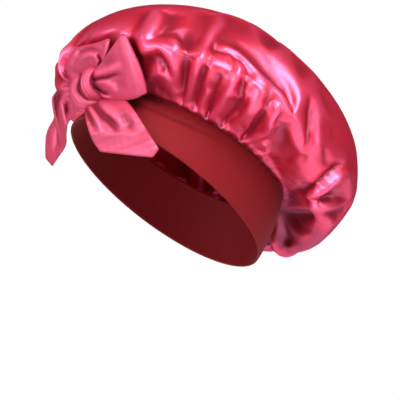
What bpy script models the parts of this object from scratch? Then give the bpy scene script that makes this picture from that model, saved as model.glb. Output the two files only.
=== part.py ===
# Satin sleep bonnet: a gathered crown on a wide band, with the ties knotted in a bow at the front.
# World axes: +Z up, the face looks along -Y and the wearer's left is +X. Metres, angles in degrees.
# The origin is the middle of the band's lower edge, where the head goes in.
import math

import bpy
import numpy as np

# The bonnet leans back: its own up axis is turned this far from +Z towards the back of the head.
TILT = 37.7

# The band, measured outside: its lower edge, its upper edge (the seam) and its height at the sides.
BAND_HALF_WIDTH = 0.078
BAND_HALF_LENGTH = 0.105
SEAM_HALF_WIDTH = 0.078
SEAM_HALF_LENGTH = 0.0886
SEAM_SHIFT = 0.005
BAND_HEIGHT = 0.0473
BAND_RAKE = 0.006
BAND_WALL = 0.002
BAND_SWELL = 0.0025
BAND_CREASE = 0.0015
BAND_COLUMNS = 60

# The crown: its widest ring, how far that ring lies above the lower edge, and the top above the ring.
CROWN_HALF_WIDTH = 0.1356
CROWN_HALF_LENGTH = 0.1409
CROWN_SHIFT = 0.0043
WIDEST_HEIGHT = 0.0705
CROWN_RISE = 0.0867
CROWN_DROOP = 0.0080
CROWN_WALL = 0.0014
FOLD_DEPTH = 0.008
FOLD_SINK = 0.0012
GATHER_DEPTH = 0.0025
GATHERS = 30
COLUMNS_PER_GATHER = 4
CAP_ROWS = 9

# The knot sits on the crossing of the ties, and both stand off the lower front of the band.
KNOT_SIDE = -0.006
KNOT_LIFT = 0.0185
KNOT_HALF_WIDTH = 0.0100
KNOT_HALF_DEPTH = 0.0115
KNOT_HALF_HEIGHT = 0.0145
KNOT_CREASE = 0.0007
CROSSING_SIDE = -0.007
CROSSING_HALF_WIDTH = 0.015
CROSSING_HALF_DEPTH = 0.013
CROSSING_HALF_HEIGHT = 0.00925
SEAT_SHARE = 0.45

# The straps of the bow: the loops and the tie ends have one width and one wall. At the knot they are
# drawn in to the pinch, a share of the width.
STRAP_WIDTH = 0.057
STRAP_WALL = 0.0018
LOOP_LENGTH = 0.053
LOOP_FULLNESS = 0.007
LOOP_ROOT_GAP = 0.0026
LOOP_PINCH = 0.16
LOOP_ROUNDNESS = 2.4
TIE_LENGTH = 0.072
TIE_PINCH = 0.34
PLEAT_DEPTH = 0.0022
PLEATS = 2.5
LOOP_STEPS = 17
TIE_STEPS = 13
STRAP_STEPS = 7

# The gap that touching pieces keep, and how far round a point the loops look for the crown.
CLEARANCE = 0.0003
LOOK_AROUND = 0.006

# Underside of the crown from the seam out to the widest ring. A ring's half-axes are the two shares of
# the seam's and of the widest ring's; lift is a share of the way from the seam up to the top, and droop
# a share of how far the underside hangs below the seam.
#    seam   wide   lift   droop
UNDERSIDE = (
    (1.000, 0.000, 0.000, 0.0),
    (0.930, 0.070, 0.025, 0.0),
    (0.700, 0.290, 0.032, 0.4),
    (0.420, 0.570, 0.015, 0.8),
    (0.160, 0.810, 0.000, 1.0),
    (0.020, 0.945, 0.020, 0.8),
    (0.000, 0.990, 0.100, 0.3),
)

# Folds and dents of the crown. Angles go round from the front, + to the wearer's left, at the fold's
# start and end; starts and ends are rows, 0 at the seam, 1 at the widest ring, 2 at the top. Depth is
# a share of FOLD_DEPTH, - for a dent; the first row is the hollow that the bow lies in.
# angle0 angle1 row0 row1 half-width depth
FOLDS = (
    (5, 4, -0.20, 1.50, 38, -3.20),
    (21, 17, 0.75, 1.55, 8, 0.60),
    (33, 31, 0.40, 1.15, 6, -0.50),
    (44, 40, 0.15, 1.60, 7, 0.85),
    (51, 46, 0.15, 1.35, 6, -0.60),
    (60, 51, 0.15, 1.45, 7, 0.80),
    (69, 64, 0.15, 1.15, 6, 0.55),
    (82, 58, 0.20, 1.50, 8, 0.65),
    (97, 90, 0.30, 1.60, 8, -0.45),
    (107, 118, 0.10, 1.60, 8, -0.85),
    (116, 128, 0.05, 1.65, 9, 0.95),
    (128, 134, 0.15, 1.40, 7, -0.55),
    (139, 143, 0.10, 1.50, 8, 0.70),
    (157, 160, 0.10, 1.40, 8, -0.55),
    (172, 172, 0.05, 1.40, 9, 0.60),
    (190, 188, 0.05, 1.35, 8, -0.50),
    (204, 200, 0.10, 1.45, 9, 0.70),
    (222, 214, 0.10, 1.40, 8, -0.55),
    (238, 232, 0.10, 1.50, 9, 0.75),
    (254, 250, 0.10, 1.35, 8, -0.50),
    (270, 268, 0.10, 1.50, 9, 0.65),
    (286, 288, 0.15, 1.35, 8, -0.50),
    (302, 306, 0.10, 1.50, 9, 0.70),
    (326, 330, 0.20, 1.50, 9, 0.60),
)

# The gathers grow out of the seam over the first rows and have died away past the widest ring.
GATHERS_FULL_ROW = 0.28
GATHERS_END_ROW = 1.25

# Rows of the band's outside, from its lower edge to the seam.
# height swell
BAND_ROWS = ((0.00, 0.0), (0.22, 0.7), (0.45, 1.0), (0.68, 0.8), (0.88, 0.3), (1.00, 0.0))

# Soft creases along the band: the angles and the shares of the height that each runs between, its
# half-width as a share of the height, and its depth as a share of BAND_CREASE.
# angle0 angle1 height0 height1 half-width depth
BAND_CREASES = (
    (8, 62, 0.60, 0.72, 0.24, 1.0),
    (-62, -24, 0.70, 0.58, 0.24, 0.8),
    (-12, 34, 0.86, 0.84, 0.14, 0.7),
)

# Each loop, as side, back, up: its root in shares of the knot's half sizes, the middle of its outer
# edge in shares of LOOP_LENGTH, half that edge in shares of STRAP_WIDTH, and how far the edge curves out.
LOOPS = {
    "bow_loop_left": ((0.60, -0.20, 0.10), (0.93, 0.19, 0.31), (-0.09, -0.13, 0.46), 0.04),
    "bow_loop_right": ((-0.45, 0.10, 0.45), (-0.27, 0.03, 0.55), (0.53, 0.01, 0.20), 0.20),
}

# Each tie in the same way: its root, the middle of its cut end in shares of TIE_LENGTH, and half that
# end, which is cut at a slant.
TIES = {
    "tie_end_left": ((0.30, 0.10, -0.60), (0.66, 0.05, -0.84), (0.39, 0.22, -0.02)),
    "tie_end_right": ((-0.50, 0.10, -0.55), (-0.84, -0.03, -0.71), (-0.15, 0.04, 0.28)),
}


def clear_scene():
    for old in list(bpy.data.objects):
        bpy.data.objects.remove(old, do_unlink=True)


def fabric(name, colour, roughness, sheen):
    material = bpy.data.materials.new(name)
    material.use_nodes = True
    shader = material.node_tree.nodes["Principled BSDF"]
    shader.inputs["Base Color"].default_value = (*colour, 1.0)
    shader.inputs["Roughness"].default_value = roughness
    shader.inputs["Metallic"].default_value = 0.0
    shader.inputs["Sheen Weight"].default_value = sheen
    return material


def leaned(side, back, up):
    """The world place of a point given in the bonnet's own leaning axes."""
    lean = math.radians(TILT)
    y = back * math.cos(lean) + up * math.sin(lean)
    z = -back * math.sin(lean) + up * math.cos(lean)
    return np.stack(np.broadcast_arrays(side, y, z), axis=-1)


def upright(points):
    """The inverse of leaned: the bonnet's own side, back and up of world points."""
    lean = math.radians(TILT)
    x, y, z = points[..., 0], points[..., 1], points[..., 2]
    back = y * math.cos(lean) - z * math.sin(lean)
    return np.stack([x, back, y * math.sin(lean) + z * math.cos(lean)], axis=-1)


def hump(x):
    """1 at 0, falling smoothly to 0 at -1 and 1."""
    return np.where(np.abs(x) < 1, np.cos(np.clip(x, -1, 1) * math.pi / 2) ** 2, 0.0)


def unit(vectors):
    return vectors / np.linalg.norm(vectors, axis=-1, keepdims=True)


def normals_of(grid):
    """Outward unit normals of a grid whose columns go all the way round."""
    across = np.roll(grid, -1, axis=1) - np.roll(grid, 1, axis=1)
    return unit(np.cross(across, np.gradient(grid, axis=0)))


def mesh_object(name, points, faces, material):
    mesh = bpy.data.meshes.new(name)
    mesh.from_pydata(points.tolist(), [], faces)
    mesh.validate()
    mesh.materials.append(material)
    mesh.shade_smooth()
    obj = bpy.data.objects.new(name, mesh)
    bpy.context.scene.collection.objects.link(obj)
    return obj


def grid_faces(rows, columns, closed):
    """Quads between the rows of a grid; closed joins the last column to the first."""
    faces = []
    for i in range(rows - 1):
        for j in range(columns if closed else columns - 1):
            k = (j + 1) % columns
            faces.append((i * columns + j, i * columns + k, (i + 1) * columns + k, (i + 1) * columns + j))
    return faces


def thicken(obj, wall, offset):
    solidify = obj.modifiers.new("wall", "SOLIDIFY")
    solidify.thickness = wall
    solidify.offset = offset
    solidify.use_rim = True


def cut_by(obj, cutters):
    for cutter in cutters:
        boolean = obj.modifiers.new("seat", "BOOLEAN")
        boolean.operation = "DIFFERENCE"
        boolean.solver = "EXACT"
        boolean.object = cutter


def seam_height(turn):
    return BAND_HEIGHT - BAND_RAKE * np.cos(turn)


def band_half_sizes(height):
    """Half-width and half-length of the band at a share of its height."""
    half_width = BAND_HALF_WIDTH + (SEAM_HALF_WIDTH - BAND_HALF_WIDTH) * height
    return half_width, BAND_HALF_LENGTH + (SEAM_HALF_LENGTH - BAND_HALF_LENGTH) * height


def band_surface(turn, height, out):
    """The band's outside, height 0 at the lower edge and 1 at the seam, moved out by a distance."""
    half_width, half_length = band_half_sizes(height)
    back = SEAM_SHIFT * height - (half_length + out) * np.cos(turn)
    return leaned((half_width + out) * np.sin(turn), back, height * seam_height(turn))


def build_band(material):
    turn = np.linspace(0, 2 * math.pi, BAND_COLUMNS, endpoint=False)[None, :]
    degrees = (np.degrees(turn) + 180) % 360 - 180
    rows = np.array(BAND_ROWS)
    height, swell = rows[:, 0:1], rows[:, 1:2]
    out = swell * BAND_SWELL + 0 * turn
    for angle0, angle1, height0, height1, half_width, depth in BAND_CREASES:
        along = (degrees - angle0) / (angle1 - angle0)
        line = height0 + (height1 - height0) * along
        out = out - depth * BAND_CREASE * hump(2 * along - 1) * hump((height - line) / half_width)
    grid = band_surface(turn, height, out)
    band = mesh_object("band", grid.reshape(-1, 3), grid_faces(len(rows), BAND_COLUMNS, True), material)
    thicken(band, BAND_WALL, -1)


def crown_sections():
    """Rows of seam share, wide share, lift, droop and row number, from the seam to just under the top."""
    under = [(*row, i / len(UNDERSIDE)) for i, row in enumerate(UNDERSIDE)]
    base = (WIDEST_HEIGHT - BAND_HEIGHT) / (WIDEST_HEIGHT + CROWN_RISE - BAND_HEIGHT)
    cap = []
    for i in range(CAP_ROWS):
        rise = i / CAP_ROWS * math.pi / 2
        cap.append((0.0, math.cos(rise), base + (1 - base) * math.sin(rise), 0.0, 1 + i / CAP_ROWS))
    return np.array(under + cap)


def crown_relief(turn, row):
    """How far the folds, dents and gathers stand out from the smooth crown."""
    relief = -FOLD_SINK * hump(row - 1) + 0 * turn
    for angle0, angle1, row0, row1, half_width, depth in FOLDS:
        along = (row - row0) / (row1 - row0)
        path = angle0 + (angle1 - angle0) * along
        off = (np.degrees(turn) - path + 180) % 360 - 180
        relief = relief + depth * FOLD_DEPTH * hump(off / half_width) * hump(2 * along - 1)
    grow = np.clip(row / GATHERS_FULL_ROW, 0, 1)
    fade = np.clip(GATHERS_END_ROW - row, 0, 1)
    relief = relief + GATHER_DEPTH * grow * fade * np.cos(GATHERS * turn)
    return np.where(row > 0, relief, 0.0)


def crown_grid():
    sections = crown_sections()[:, :, None]
    seam, wide, lift, droop, row = (sections[:, i] for i in range(5))
    columns = GATHERS * COLUMNS_PER_GATHER
    turn = np.linspace(0, 2 * math.pi, columns, endpoint=False)[None, :]
    start = seam_height(turn) + CLEARANCE
    top = WIDEST_HEIGHT + CROWN_RISE
    side = (seam * SEAM_HALF_WIDTH + wide * CROWN_HALF_WIDTH) * np.sin(turn)
    half_length = seam * SEAM_HALF_LENGTH + wide * CROWN_HALF_LENGTH
    back = seam * SEAM_SHIFT + wide * CROWN_SHIFT - half_length * np.cos(turn)
    up = start + lift * (top - start) - droop * CROWN_DROOP * (1 - np.cos(turn))
    smooth = leaned(side, back, up)
    return smooth + normals_of(smooth) * crown_relief(turn, row)[..., None]


def build_crown(material):
    grid = crown_grid()
    rows, columns = grid.shape[:2]
    top = leaned(0.0, CROWN_SHIFT, WIDEST_HEIGHT + CROWN_RISE)
    points = np.vstack([grid.reshape(-1, 3), top[None]])
    faces = grid_faces(rows, columns, True)
    last = (rows - 1) * columns
    for j in range(columns):
        faces.append((last + j, last + (j + 1) % columns, rows * columns))
    crown = mesh_object("crown", points, faces, material)
    thicken(crown, CROWN_WALL, -1)
    return grid


def ball(name, centre, half, material, crease=0.0, rows=10, columns=18):
    """A closed rounded form with its poles at the sides, drawn in by a soft crease near each pole."""
    pole = np.linspace(0, math.pi, rows + 1)[1:-1, None]
    turn = np.linspace(0, 2 * math.pi, columns, endpoint=False)[None, :]
    crease_at, crease_half = 0.2 * math.pi, 0.11 * math.pi
    drawn_in = hump((pole - crease_at) / crease_half) + hump((math.pi - pole - crease_at) / crease_half)
    size = np.sin(pole) * (1 - crease / half[2] * drawn_in)
    unit_grid = np.stack([-np.cos(pole) + 0 * turn, size * np.cos(turn), size * np.sin(turn)], axis=-1)
    ends = np.array([[-half[0], 0, 0], [half[0], 0, 0]]) + centre
    points = np.vstack([(unit_grid * half + centre).reshape(-1, 3), ends])
    faces = grid_faces(rows - 1, columns, True)
    first_end, last_row = (rows - 1) * columns, (rows - 2) * columns
    for j in range(columns):
        k = (j + 1) % columns
        faces.append((k, j, first_end))
        faces.append((last_row + j, last_row + k, first_end + 1))
    return mesh_object(name, points, faces, material)


def over_band(side, lift):
    """A place this far to the side and this far off the front of the band, and the way out from it."""
    turn = np.arcsin(side / BAND_HALF_WIDTH)
    along = unit(band_surface(turn, 1.0, 0.0) - band_surface(turn, 0.0, 0.0))
    out = unit(np.array([0.0, -along[2], along[1]]))
    return band_surface(turn, SEAT_SHARE, BAND_SWELL) + out * lift, out


def knot_half_sizes():
    return np.array([KNOT_HALF_WIDTH, KNOT_HALF_DEPTH, KNOT_HALF_HEIGHT])


def ahead_of_crown(points, crown_points):
    """How far each point has to move forward, along -Y, to lie in front of the crown near it."""
    crown = crown_points.reshape(-1, 3)
    apart = np.abs(points[..., None, :] - crown)
    near = (apart[..., 0] < LOOK_AROUND) & (apart[..., 2] < LOOK_AROUND) & (crown[:, 1] < 0)
    front = np.where(near, crown[:, 1], 0.0).min(axis=-1)
    return np.clip(points[..., 1] - front + STRAP_WALL + CLEARANCE, 0, None) * (front < 0)


def clear_of_band(points):
    """Moves each row of points out from the bonnet's axis until the whole row is clear of the band."""
    own = upright(points)
    share = np.clip(own[..., 2] / BAND_HEIGHT, 0, 1)
    half_width, half_length = band_half_sizes(share)
    tuck_under = 0.8 * np.clip(own[..., 2], None, 0)
    room = STRAP_WALL + CLEARANCE + BAND_SWELL + tuck_under
    back = own[..., 1] - SEAM_SHIFT * share
    reach = np.hypot(own[..., 0] / (half_width + room), back / (half_length + room))
    need = np.clip(1 / reach - 1, 0, None).max(axis=1)
    before_after = np.maximum(np.append(need[:1], need[:-1]), np.append(need[1:], need[-1:]))
    grow = 1 + np.maximum(need, before_after / 2)[:, None]
    return leaned(own[..., 0] * grow, own[..., 1] * grow, own[..., 2])


def strap_axes(knot, root, middle, length, half_edge):
    """Where a strap starts, the way to the middle of its end, half its end and the way it faces."""
    start = knot + np.array(root) * knot_half_sizes()
    out = knot + np.array(middle) * length - start
    edge = np.array(half_edge) * STRAP_WIDTH
    facing = unit(np.cross(edge, out))
    return start, out, edge, facing * -np.sign(facing[1])


def strap_object(name, grid, material):
    rows, columns = grid.shape[:2]
    strap = mesh_object(name, grid.reshape(-1, 3), grid_faces(rows, columns, False), material)
    thicken(strap, STRAP_WALL, 0)
    return strap


def build_loop(name, knot, crown_points, material):
    """A strap out along its front layer, round its outer edge at travel 0, and back behind."""
    root, middle, half_edge, curve = LOOPS[name]
    start, out, edge, facing = strap_axes(knot, root, middle, LOOP_LENGTH, half_edge)
    travel = np.linspace(-1, 1, LOOP_STEPS)[:, None, None]
    across = np.linspace(-1, 1, STRAP_STEPS)[None, :, None]
    reach = 1 - np.abs(travel) ** LOOP_ROUNDNESS
    spread = LOOP_PINCH + (1 - LOOP_PINCH) * np.sin(reach * math.pi / 2)
    full = LOOP_FULLNESS * np.sin(np.abs(travel) * math.pi) * (1 - across**2 / 3)
    depth = full + LOOP_ROOT_GAP * np.clip(4 * np.abs(travel), 0, 1)
    pleat = PLEAT_DEPTH * np.cos(PLEATS * math.pi * across) * hump(2 * reach - 0.9)
    grid = start + out * (reach + curve * (1 - across**2) * reach**2) + edge * across * spread
    grid = grid + facing * (pleat - np.sign(travel) * depth)
    lean = (ahead_of_crown(grid, crown_points) / np.maximum(reach[..., 0], 1 / 3)).max()
    grid[..., 1] = grid[..., 1] - lean * reach[..., 0]
    return strap_object(name, grid, material)


def build_tie(name, knot, material):
    """A strap from under the knot to its cut end, spreading out as it goes."""
    root, middle, half_edge = TIES[name]
    start, out, edge, facing = strap_axes(knot, root, middle, TIE_LENGTH, half_edge)
    travel = np.linspace(0, 1, TIE_STEPS)[:, None, None]
    across = np.linspace(-1, 1, STRAP_STEPS)[None, :, None]
    spread = TIE_PINCH + (1 - TIE_PINCH) * np.sqrt(np.sin(travel * math.pi / 2))
    pleat = PLEAT_DEPTH * np.cos(PLEATS * math.pi * across) * hump(1.6 * travel - 0.6)
    grid = start + out * travel + edge * across * spread + facing * pleat
    return strap_object(name, clear_of_band(grid), material)


def build_bow(crown_points, material):
    knot = over_band(KNOT_SIDE, KNOT_LIFT)[0]
    crossing_half = np.array([CROSSING_HALF_WIDTH, CROSSING_HALF_DEPTH, CROSSING_HALF_HEIGHT])
    support = np.linalg.norm(crossing_half * over_band(KNOT_SIDE, 0)[1])
    pad = over_band(KNOT_SIDE + CROSSING_SIDE, support + CLEARANCE)[0]
    ball("bow_knot", knot, knot_half_sizes(), material, KNOT_CREASE)
    crossing = ball("bow_crossing", pad, crossing_half, material)
    knot_room = ball("knot_room", knot, knot_half_sizes() + CLEARANCE, material)
    crossing_room = ball("crossing_room", pad, crossing_half + CLEARANCE, material)
    for cutter in (knot_room, crossing_room):
        cutter.hide_render = True
        cutter.display_type = "WIRE"
    cut_by(crossing, [knot_room])
    for name in LOOPS:
        cut_by(build_loop(name, knot, crown_points, material), [knot_room, crossing_room])
    for name in TIES:
        cut_by(build_tie(name, knot, material), [knot_room, crossing_room])


def main():
    clear_scene()
    crown_satin = fabric("crown_satin", (0.55, 0.02, 0.07), 0.28, 0.2)
    band_jersey = fabric("band_jersey", (0.32, 0.01, 0.04), 0.62, 0.1)
    bow_satin = fabric("bow_satin", (0.60, 0.05, 0.12), 0.36, 0.2)
    build_band(band_jersey)
    crown_points = build_crown(crown_satin)
    build_bow(crown_points, bow_satin)


main()
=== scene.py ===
# Satin sleep bonnet: gathered crown, jersey band and the bow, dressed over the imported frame.
import math
import bpy
import numpy as np
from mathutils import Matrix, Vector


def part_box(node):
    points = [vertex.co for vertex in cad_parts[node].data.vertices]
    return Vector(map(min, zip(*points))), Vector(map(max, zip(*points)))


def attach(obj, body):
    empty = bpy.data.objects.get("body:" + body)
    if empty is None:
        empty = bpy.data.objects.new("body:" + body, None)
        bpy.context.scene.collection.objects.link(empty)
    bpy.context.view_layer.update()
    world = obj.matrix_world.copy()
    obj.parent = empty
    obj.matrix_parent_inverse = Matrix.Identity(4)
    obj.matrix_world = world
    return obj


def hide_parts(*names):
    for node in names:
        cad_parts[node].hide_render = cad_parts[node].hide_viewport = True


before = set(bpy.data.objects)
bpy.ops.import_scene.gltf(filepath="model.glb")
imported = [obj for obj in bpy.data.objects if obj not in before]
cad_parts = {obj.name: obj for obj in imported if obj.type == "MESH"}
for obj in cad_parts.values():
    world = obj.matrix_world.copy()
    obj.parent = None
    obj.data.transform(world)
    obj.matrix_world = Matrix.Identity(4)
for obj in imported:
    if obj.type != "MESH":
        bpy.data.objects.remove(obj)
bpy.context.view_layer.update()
print("frame loaded")

# The bonnet leans back by this angle. Its lower band edge is centred on the origin.
leanAngle = math.radians(37.7)

studio = {
    "azimuth": 52.5, "distance": 2.6, "frameWidth": 0.3448,   # the photograph's frame is 345 mm wide here
    "aimRight": 0.0297, "aimUp": -0.0061,
    "floorAt": -0.50, "world": 0.22, "glossWorld": 0.06,
}
# level directions to the right in the camera's picture and toward the camera
viewTurn = math.radians(studio["azimuth"])
viewRight = np.array([math.cos(viewTurn), math.sin(viewTurn), 0.0])
viewToward = np.array([math.sin(viewTurn), -math.cos(viewTurn), 0.0])
upward = np.array([0.0, 0.0, 1.0])

bandShape = {
    "halfWidth": 0.078, "halfLength": 0.105,            # lower edge
    "seamHalfWidth": 0.078, "seamHalfLength": 0.0886,   # upper edge, where the crown is sewn on
    "seamShift": 0.005, "height": 0.0473, "rake": 0.006,
    "wall": 0.0018, "swell": 0.0026, "hem": 0.0009,
    "round": 0.578, "wayUp": 0.1,                       # cloth round the band, and up its outside and inside
}

crownShape = {
    "halfWidth": 0.1356, "halfLength": 0.1409, "shift": 0.0043,
    "widestHeight": 0.0705, "rise": 0.0867, "droop": 0.0080,
    "cells": 111,                # across the disc that settles; the finished crown has twice as many
    "wall": 0.0006, "seamGap": 0.0002,
    "foldLimit": 10,             # mm that the followed folds stay within
    "bowRoom": 1.2,              # mm between the crown and the bow that lies on it
}


# shape helpers

# bonnet's own side, back, up turned into world x, y, z
def leaned(side, back, up):
    c, s = math.cos(leanAngle), math.sin(leanAngle)
    return np.stack(np.broadcast_arrays(side, back * c + up * s, -back * s + up * c), axis=-1)


# 1 at 0, falling on half a cosine squared to 0 at -1 and 1
def hump(x):
    return np.cos(np.clip(x, -1, 1) * math.pi / 2) ** 2


# 0 before a, 1 after b, on a smooth S curve between
def ease(x, a, b):
    k = np.clip((x - a) / (b - a), 0, 1)
    return k * k * (3 - 2 * k)


def unit(v):
    return v / np.maximum(np.linalg.norm(v, axis=-1, keepdims=True), 1e-12)


# smooth curve through the rows of a table, with the same number of points on each span (Catmull-Rom)
def smoothRows(table, perSpan):
    p = np.asarray(table, float)
    p = np.vstack([2 * p[0] - p[1], p, 2 * p[-1] - p[-2]])
    k = np.linspace(0, 1, perSpan, endpoint=False)[:, None]
    spans = []
    for a, b, c, d in zip(p[:-3], p[1:-2], p[2:-1], p[3:]):
        spans.append(0.5 * (2 * b + (c - a) * k + (2 * a - 5 * b + 4 * c - d) * k**2
                            + (3 * b - a - 3 * c + d) * k**3))
    return np.vstack(spans + [p[-2:-1]])


# faces of a grid of points; closedRows / closedColumns join the last to the first
def gridFaces(rows, columns, closedRows=False, closedColumns=False):
    i = np.arange(rows if closedRows else rows - 1)[:, None]
    j = np.arange(columns if closedColumns else columns - 1)[None, :]
    i2, j2 = (i + 1) % rows, (j + 1) % columns
    corners = [i * columns + j, i * columns + j2, i2 * columns + j2, i2 * columns + j]
    return np.stack(corners, -1).reshape(-1, 4)


def linked(obj):
    bpy.context.scene.collection.objects.link(obj)
    return obj


def meshObject(name, points, faces):
    mesh = bpy.data.meshes.new(name)
    mesh.from_pydata(points.reshape(-1, 3).tolist(), [], faces.tolist())
    return linked(bpy.data.objects.new(name, mesh))


# a cloth piece; uv gives each vertex its place on the flat cloth, in metres, and the last argument its painted
# shading, from full painted shade (-1, as down a valley) to full painted highlight (1, as up a ridge)
def clothObject(name, points, faces, uv, material, paintedTone):
    obj = meshObject(name, points, faces)
    mesh = obj.data
    loops = np.zeros(len(mesh.loops), np.int32)
    mesh.loops.foreach_get("vertex_index", loops)
    layer = mesh.uv_layers.new(name="cloth")
    layer.data.foreach_set("uv", uv.reshape(-1, 2)[loops].astype(np.float32).ravel())
    # painted shade and painted highlight, kept on each vertex for the material
    paint = mesh.attributes.new("paintedShading", "FLOAT", "POINT")
    paint.data.foreach_set("value", paintedTone.astype(np.float32).ravel())
    mesh.materials.append(material)
    mesh.shade_smooth()
    return obj


# a wall on one side of the sheet (-1) or half on each (0)
def solidify(obj, wall, offset):
    m = obj.modifiers.new("wall", "SOLIDIFY")
    m.thickness, m.offset, m.use_rim = wall, offset, True


def smoother(obj, levels):
    m = obj.modifiers.new("smooth", "SUBSURF")
    m.levels = m.render_levels = levels


# normals of a grid of points, by the differences along its two directions
def gridNormals(points):
    return unit(np.cross(np.gradient(points, axis=1), np.gradient(points, axis=0)))


# materials

# a node group out of its inputs with their start values (a number or a colour) and its outputs with their kinds
def newGroup(name, inputs, outputs):
    g = bpy.data.node_groups.new(name, "ShaderNodeTree")
    for label, value in inputs.items():
        kind = "NodeSocketColor" if isinstance(value, tuple) else "NodeSocketFloat"
        g.interface.new_socket(label, in_out="INPUT", socket_type=kind).default_value = value
    for label, kind in outputs.items():
        g.interface.new_socket(label, in_out="OUTPUT", socket_type=kind)
    return g, g.nodes.new("NodeGroupInput").outputs, g.nodes.new("NodeGroupOutput").inputs


# a node and its settings; in_0 or in_Scale sets that input, or links it where the value is another node's output
def addNode(tree, kind, **values):
    node = tree.nodes.new(kind)
    for key, value in values.items():
        if not key.startswith("in_"):
            setattr(node, key, value)
            continue
        label = key[3:]
        socket = node.inputs[int(label) if label.isdigit() else label]
        if isinstance(value, bpy.types.NodeSocket):
            tree.links.new(value, socket)
        else:
            socket.default_value = value
    return node


# result of a math node with these inputs
def maths(tree, operation, *inputs):
    values = {f"in_{k}": value for k, value in enumerate(inputs)}
    return addNode(tree, "ShaderNodeMath", operation=operation, **values).outputs[0]


# cloth grain: fine threads both ways on the cloth's own UV, and slow creases; height and a tone from -1 to 1
def makeGrainGroup():
    g, given, result = newGroup(
        "clothGrain", {"Threads": 900.0, "Stretch": 4.0, "Crease Scale": 40.0, "Crease Depth": 0.5},
        {"Height": "NodeSocketFloat", "Tone": "NodeSocketFloat"})
    uv = addNode(g, "ShaderNodeUVMap", uv_map="cloth").outputs[0]
    squeeze = addNode(g, "ShaderNodeCombineXYZ", in_0=given["Stretch"], in_1=1.0, in_2=1.0)
    long = addNode(g, "ShaderNodeVectorMath", operation="MULTIPLY", in_0=uv, in_1=squeeze.outputs[0])
    threads = addNode(g, "ShaderNodeTexNoise", noise_dimensions="2D", in_Vector=long.outputs[0],
                      in_Scale=given["Threads"], in_Detail=2.0).outputs[0]
    crease = addNode(g, "ShaderNodeTexNoise", noise_dimensions="2D", in_Vector=uv,
                     in_Scale=given["Crease Scale"], in_Detail=3.0, in_Distortion=0.6).outputs[0]
    deep = maths(g, "MULTIPLY", crease, given["Crease Depth"])
    thin = maths(g, "MULTIPLY", threads, 0.03)
    g.links.new(maths(g, "ADD", deep, thin), result["Height"])
    g.links.new(maths(g, "MULTIPLY_ADD", threads, 2.0, -1.0), result["Tone"])
    return g


# cloth colour: the main colour, with painted shade in the valleys and a painted highlight on the ridges, by the
# attribute of painted shading (inputs 6 and 7 and output 2 of a Mix node are its colours)
def makePaintedShadingGroup():
    black = (0, 0, 0, 1)
    g, given, result = newGroup(
        "paintedFoldShading", {"Painted Shade": black, "Main": black, "Light": black, "Grain": 0.0, "Grain Amount": 0.05},
        {"Color": "NodeSocketColor"})
    paintedShading = addNode(g, "ShaderNodeAttribute", attribute_name="paintedShading").outputs["Fac"]
    down = addNode(g, "ShaderNodeMapRange", in_0=paintedShading, in_1=-1.0, in_2=0.0).outputs[0]
    up = addNode(g, "ShaderNodeMapRange", in_0=paintedShading, in_1=0.0, in_2=1.0).outputs[0]
    first = addNode(g, "ShaderNodeMix", data_type="RGBA", in_0=down, in_6=given["Painted Shade"], in_7=given["Main"])
    second = addNode(g, "ShaderNodeMix", data_type="RGBA", in_0=up, in_6=first.outputs[2], in_7=given["Light"])
    amount = maths(g, "MULTIPLY_ADD", given["Grain"], given["Grain Amount"], 1.0)
    vary = addNode(g, "ShaderNodeVectorMath", operation="SCALE", in_0=second.outputs[2], in_Scale=amount)
    g.links.new(vary.outputs[0], result["Color"])
    return g


grainGroup = makeGrainGroup()
paintedShadingGroup = makePaintedShadingGroup()

# Looks: the tone group's colours (main, painted shade, painted highlight), the inputs of the shader and of the grain
# group, and the bump in metres.
crownSatin = {
    "tones": {"Painted Shade": (0.22, 0.001, 0.004, 1), "Main": (0.60, 0.015, 0.032, 1), "Light": (0.78, 0.070, 0.150, 1)},
    "shader": {"Metallic": 0.55, "Roughness": 0.40, "IOR": 2.0, "Specular IOR Level": 1.0,
               "Specular Tint": (0.95, 0.48, 0.90, 1)},
    "grain": {"Threads": 700.0, "Stretch": 5.0, "Crease Scale": 26.0, "Crease Depth": 0.55}, "bump": 0.0012,
}
bowSatin = {
    "tones": {"Painted Shade": (0.16, 0.003, 0.008, 1), "Main": (0.42, 0.034, 0.070, 1), "Light": (0.57, 0.072, 0.136, 1)},
    "shader": {"Metallic": 0.20, "Roughness": 0.52, "IOR": 1.6, "Specular IOR Level": 0.7,
               "Specular Tint": (0.9, 0.6, 1.0, 1)},
    "grain": {"Threads": 700.0, "Stretch": 5.0, "Crease Scale": 30.0, "Crease Depth": 0.20}, "bump": 0.0005,
}
bandJersey = {
    "tones": {"Painted Shade": (0.035, 0.001, 0.0015, 1), "Main": (0.138, 0.0022, 0.0046, 1),
              "Light": (0.19, 0.0045, 0.0085, 1)},
    "shader": {"Metallic": 0.0, "Roughness": 0.72, "IOR": 1.5, "Specular IOR Level": 0.14,
               "Sheen Weight": 0.08, "Sheen Roughness": 0.4, "Sheen Tint": (1.0, 0.5, 0.55, 1)},
    "grain": {"Threads": 420.0, "Stretch": 2.5, "Crease Scale": 22.0, "Crease Depth": 0.12}, "bump": 0.0010,
}


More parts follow.
